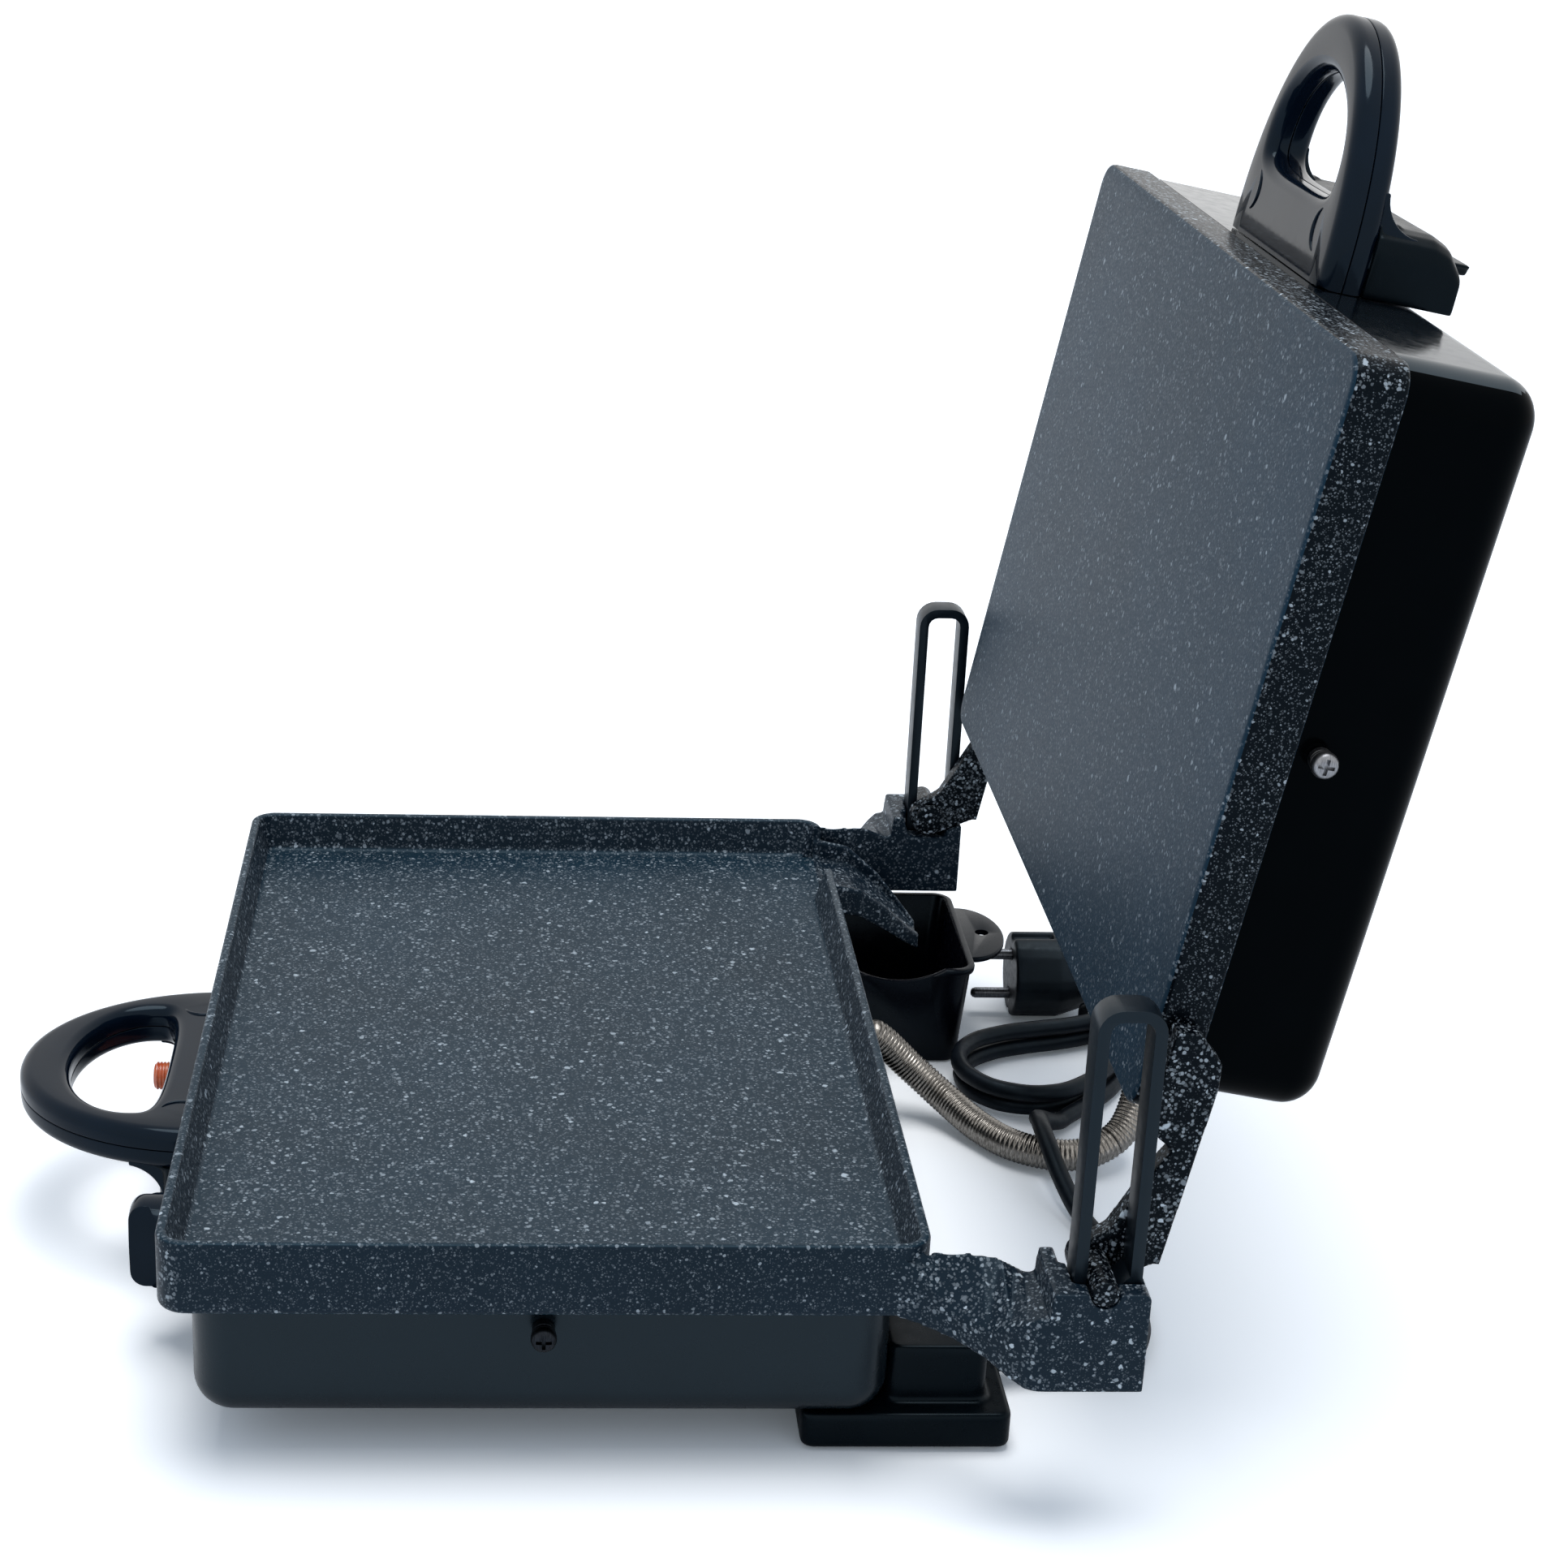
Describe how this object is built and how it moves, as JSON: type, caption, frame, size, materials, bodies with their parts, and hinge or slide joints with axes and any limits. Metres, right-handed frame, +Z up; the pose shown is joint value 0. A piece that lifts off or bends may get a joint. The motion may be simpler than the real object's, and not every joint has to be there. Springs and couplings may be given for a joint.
{
  "type": "contact grill",
  "caption": "Open contact grill: a tray-shaped lower plate on a pressed base, a floating hinged lid on upright guide loops, loop handles, a dial, a loose drip cup and a corded plug.",
  "frame": {"origin": "on the floor, under the middle of the standing grill with its lid open and without its cord", "axes": "+Z up, +Y to the hinge side, +X to the side of the dial"},
  "size_m": [0.429, 0.5372, 0.4568],
  "materials": {
    "granite_coating": "cast aluminium under a dark blue grey non-stick coating with pale flecks, semi-gloss",
    "black_enamel": "gloss black enamel on pressed steel",
    "black_plastic": "gloss black moulding",
    "black_rubber": "satin black",
    "bright_steel": "bright, slightly warm",
    "zinc_plate": "zinc plated",
    "ceramic_white": "white ceramic, matt",
    "mica_sheet": "mineral sheet, matt",
    "amber_lens": "ribbed, clear orange"
  },
  "bodies": {
    "base": {"conduit_gland_base": "bright_steel", "conduit_lower": "bright_steel", "cord_hank": "black_rubber", "cord_relief": "black_rubber", "cord_tail": "black_rubber", "cord_tie": "black_rubber", "front_foot_far": "black_rubber", "front_foot_near": "black_rubber", "guide_loop_far": "black_enamel", "guide_loop_near": "black_enamel", "loop_screw_far": "zinc_plate", "loop_screw_near": "zinc_plate", "lower_cover": "black_enamel", "lower_element": "bright_steel", "lower_element_clamp": "zinc_plate", "lower_handle_bottom": "black_plastic", "lower_handle_screw_one": "zinc_plate", "lower_handle_screw_two": "zinc_plate", "lower_handle_top": "black_plastic", "lower_insulation": "mica_sheet", "mains_cord": "black_rubber", "pan_lower": "granite_coating", "pilot_lamp_body": "ceramic_white", "pilot_lens": "amber_lens", "plug_body": "black_rubber", "plug_pin_lower": "bright_steel", "plug_pin_upper": "bright_steel", "rear_block": "black_plastic", "rear_block_plate": "black_plastic", "rear_foot_far": "black_plastic", "rear_pad_far": "black_rubber", "rear_pad_near": "black_rubber", "side_nut_far": "zinc_plate", "side_nut_near": "zinc_plate", "side_screw_far": "zinc_plate", "side_screw_near": "zinc_plate", "terminal_strip": "ceramic_white", "thermostat_body": "ceramic_white", "thermostat_nut": "zinc_plate"},
    "hinge_pins": {"hinge_pin_near": "zinc_plate", "hinge_pin_far": "zinc_plate"},
    "lid": {"lid_plate": "granite_coating", "lid_cover": "black_enamel", "lid_element": "bright_steel", "lid_element_clamp": "zinc_plate", "lid_insulation": "mica_sheet", "lid_nut_near": "zinc_plate", "lid_nut_far": "zinc_plate", "lid_screw_near": "zinc_plate", "lid_screw_far": "zinc_plate", "upper_handle_front": "black_plastic", "upper_handle_back": "black_plastic", "upper_handle_screw_one": "zinc_plate", "upper_handle_screw_two": "zinc_plate", "conduit_gland_lid": "bright_steel", "conduit_upper": "bright_steel"},
    "dial": {"thermostat_knob": "black_plastic", "thermostat_shaft": "bright_steel"},
    "cup": {"drip_cup": "black_plastic"}
  },
  "joints": [
    {"name": "lid_float", "type": "slide", "parent": "base", "child": "hinge_pins", "axis": [0, 0, 1], "range_m": [0, 0.08]},
    {"name": "lid_hinge", "type": "hinge", "parent": "hinge_pins", "child": "lid", "pos_m": [0, 0.12068, 0.0884], "axis": [1, 0, 0], "range_deg": [0, 100.4]},
    {"name": "dial_turn", "type": "hinge", "parent": "base", "child": "dial", "pos_m": [0.1, -0.16862, 0.04], "axis": [0, 1, 0], "range_deg": [0, 270]},
    {"name": "cup_slide", "type": "slide", "parent": "base", "child": "cup", "axis": [-1, 0, 0], "range_m": [0, 0.12]}
  ]
}
